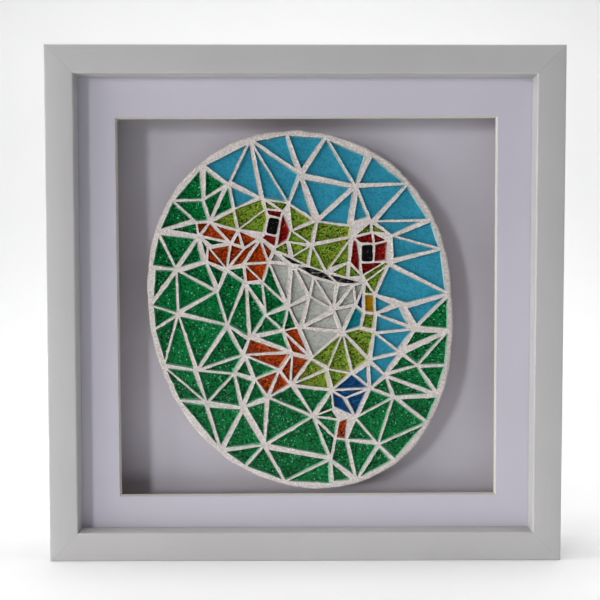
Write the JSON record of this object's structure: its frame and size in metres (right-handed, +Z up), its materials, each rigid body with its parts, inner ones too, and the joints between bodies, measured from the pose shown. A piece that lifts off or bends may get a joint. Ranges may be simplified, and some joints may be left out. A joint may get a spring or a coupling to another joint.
{
  "type": "mosaic panel",
  "caption": "Oval glass mosaic of a tree frog among leaves, grouted on a board and mounted inside a square white box frame with a windowed mount board.",
  "frame": {"origin": "Under the frame: the middle of its width, the middle of its depth, and its lowest face, where it stands.", "axes": "+X is to the right as the picture is seen, +Z is up, and the picture faces -Y; +Y is the frame's depth, its shortest extent."},
  "size_m": [0.27, 0.04, 0.27],
  "materials": {
    "rail_paint": "satin",
    "mount_card": "matte",
    "spacer_card": "matte",
    "back_panel": "matte",
    "zinc_steel": "satin",
    "fibreboard": "matte",
    "grout": "matte",
    "glass_sky_blue": "gloss",
    "glass_leaf_green": "gloss",
    "glass_lime": "gloss",
    "glass_pale_grey": "gloss",
    "glass_rust": "gloss",
    "glass_navy": "gloss",
    "glass_dark_red": "gloss",
    "glass_black": "gloss",
    "glass_teal": "gloss",
    "glass_ochre": "gloss"
  },
  "bodies": {
    "root": {"back_board": "back_panel", "base_board": "fibreboard", "belly_glass": "glass_lime", "chest_glass": "glass_pale_grey", "eye_glass_1": "glass_dark_red", "eye_glass_2": "glass_dark_red", "foot_glass_1": "glass_rust", "foot_glass_2": "glass_rust", "frame_bottom_rail": "rail_paint", "frame_left_rail": "rail_paint", "frame_right_rail": "rail_paint", "frame_top_rail": "rail_paint", "grout": "grout", "hand_glass": "glass_rust", "hanger": "zinc_steel", "head_glass_1": "glass_lime", "head_glass_2": "glass_lime", "head_glass_3": "glass_lime", "head_glass_4": "glass_lime", "leaves_glass": "glass_leaf_green", "mount_board": "mount_card", "mouth_glass": "glass_black", "ochre_glass": "glass_ochre", "pupil_glass_1": "glass_black", "pupil_glass_2": "glass_black", "sky_glass": "glass_sky_blue", "spacer_bottom": "spacer_card", "spacer_left": "spacer_card", "spacer_right": "spacer_card", "spacer_top": "spacer_card", "tab_bottom_high": "zinc_steel", "tab_bottom_low": "zinc_steel", "tab_left_high": "zinc_steel", "tab_left_low": "zinc_steel", "tab_right_high": "zinc_steel", "tab_right_low": "zinc_steel", "tab_top_high": "zinc_steel", "tab_top_low": "zinc_steel", "teal_glass": "glass_teal", "thigh_glass_1": "glass_navy", "thigh_glass_2": "glass_navy"}
  },
  "joints": []
}
